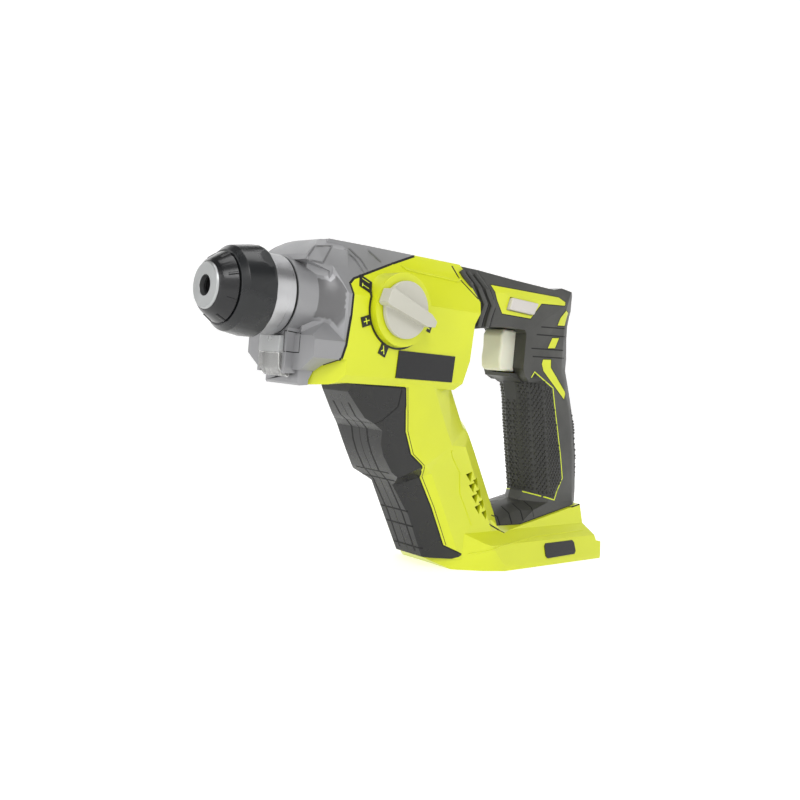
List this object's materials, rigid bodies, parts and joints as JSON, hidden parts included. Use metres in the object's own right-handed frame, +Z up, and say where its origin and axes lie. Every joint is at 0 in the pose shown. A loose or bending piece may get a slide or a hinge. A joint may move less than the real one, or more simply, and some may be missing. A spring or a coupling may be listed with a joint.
{
  "type": "rotary hammer",
  "caption": "Battery rotary hammer without its pack: tool holder, dial, slanted motor column, closed rear grip, trigger and flared foot, with the drive train inside.",
  "frame": {"origin": "centre of the nose face, at the mouth of the tool bore", "axes": "-X along the tool bit, out of the bore; +X to the rear grip; +Z up; -Y is the side with the mode dial"},
  "size_m": [0.297, 0.0781, 0.1775],
  "materials": {
    "lime": "semi-gloss moulded",
    "overmold": "soft matt",
    "pad": "dimpled matt",
    "black_plastic": "satin",
    "grey_case": "painted satin",
    "silver": "satin",
    "dial_grey": "satin",
    "cream": "satin",
    "steel": "machined",
    "spring_steel": "drawn",
    "rubber": "matt",
    "clear": "clear",
    "smoke": "frosted",
    "copper": "bare",
    "brass": "bare",
    "iron": "laminated",
    "zinc": "plated",
    "label": "gloss film"
  },
  "bodies": {
    "housing": {"bearing_plate": "silver", "collar_seal": "rubber", "dial_marks": "label", "foot_badges": "label", "front_collar": "silver", "front_cover": "black_plastic", "gear_case": "grey_case", "grip_overmold_left": "overmold", "grip_overmold_right": "overmold", "grip_pad_left": "pad", "grip_pad_right": "pad", "handle_boot": "overmold", "housing_screws": "zinc", "intermediate_bearings": "steel", "led_lens": "clear", "led_window": "smoke", "left_housing": "lime", "motor_bearings": "steel", "motor_brushes": "copper", "motor_can": "iron", "motor_cover_left": "black_plastic", "motor_cover_right": "black_plastic", "rear_grip_pad": "pad", "rear_support": "silver", "right_housing": "lime", "shaft_seal": "rubber", "side_labels": "label", "spindle_bearings": "steel", "switch_body": "black_plastic", "terminal_blades": "brass", "terminal_block": "black_plastic", "trigger_spring": "spring_steel"},
    "spindle": {"tool_spindle": "steel", "spindle_gear": "steel", "nose_ring": "dial_grey", "nose_cap": "rubber", "locking_balls": "steel", "sleeve_spring": "spring_steel"},
    "sleeve": {"chuck_sleeve": "black_plastic", "lock_ring": "steel"},
    "piston": {"piston": "steel"},
    "striker": {"striker": "steel", "striker_ring": "rubber"},
    "beat_piece": {"beat_piece": "steel"},
    "layshaft": {"intermediate_shaft": "steel", "intermediate_pinion": "steel", "bevel_gear": "steel", "wobble_sleeve": "steel"},
    "clutch": {"clutch_sleeve": "steel"},
    "wobble": {"wobble_ring": "steel"},
    "rotor": {"motor_shaft": "iron", "armature": "iron", "motor_fan": "black_plastic", "motor_pinion": "steel"},
    "dial": {"mode_dial": "dial_grey"},
    "shifter": {"shift_plate": "zinc"},
    "trigger": {"trigger": "cream"},
    "selector": {"direction_selector": "dial_grey"}
  },
  "joints": [
    {"name": "spindle_spin", "type": "hinge", "parent": "housing", "child": "spindle", "pos_m": [0.06, 0, 0], "axis": [1, 0, 0], "continuous": true},
    {"name": "sleeve_slide", "type": "slide", "parent": "spindle", "child": "sleeve", "axis": [1, 0, 0], "range_m": [0, 0.005], "stiffness_N_per_m": 1500, "springref_m": -0.003},
    {"name": "beat_piece_slide", "type": "slide", "parent": "spindle", "child": "beat_piece", "axis": [1, 0, 0], "range_m": [-0.002, 0]},
    {"name": "intermediate_spin", "type": "hinge", "parent": "housing", "child": "layshaft", "pos_m": [0.09, 0, -0.026], "axis": [1, 0, 0], "continuous": true},
    {"name": "rotor_spin", "type": "hinge", "parent": "housing", "child": "rotor", "pos_m": [0.1128, 0, -0.026], "axis": [0.5, 0, -0.866], "continuous": true},
    {"name": "clutch_slide", "type": "slide", "parent": "layshaft", "child": "clutch", "axis": [1, 0, 0], "range_m": [-0.005, 0.0005]},
    {"name": "wobble_rock", "type": "hinge", "parent": "housing", "child": "wobble", "pos_m": [0.099, 0, -0.026], "axis": [0, 1, 0], "range_deg": [-10, 10]},
    {"name": "piston_slide", "type": "slide", "parent": "housing", "child": "piston", "axis": [1, 0, 0], "range_m": [-0.0045, 0.0045]},
    {"name": "striker_slide", "type": "slide", "parent": "housing", "child": "striker", "axis": [1, 0, 0], "range_m": [0, 0.0035]},
    {"name": "mode_dial_turn", "type": "hinge", "parent": "housing", "child": "dial", "pos_m": [0.0985, -0.033, -0.001], "axis": [0, -1, 0], "range_deg": [-189, 0]},
    {"name": "shift_plate_slide", "type": "slide", "parent": "housing", "child": "shifter", "axis": [1, 0, 0], "range_m": [-0.005, 0.0005]},
    {"name": "trigger_slide", "type": "slide", "parent": "housing", "child": "trigger", "axis": [1, 0, 0], "range_m": [0, 0.0065], "stiffness_N_per_m": 900, "springref_m": -0.003, "deforming": ["trigger_spring"]},
    {"name": "selector_slide", "type": "slide", "parent": "housing", "child": "selector", "axis": [0, 1, 0], "range_m": [-0.0035, 0.0035]}
  ],
  "couplings": [
    {"joint": "intermediate_spin", "follows": "spindle_spin", "ratio": -3},
    {"joint": "rotor_spin", "follows": "spindle_spin", "ratio": 7.5},
    {"joint": "wobble_rock", "follows": "piston_slide", "rad_per_m": 38.462},
    {"joint": "shift_plate_slide", "follows": "mode_dial_turn", "m_per_rad": 0.0013303},
    {"joint": "clutch_slide", "follows": "mode_dial_turn", "m_per_rad": 0.0013303}
  ]
}
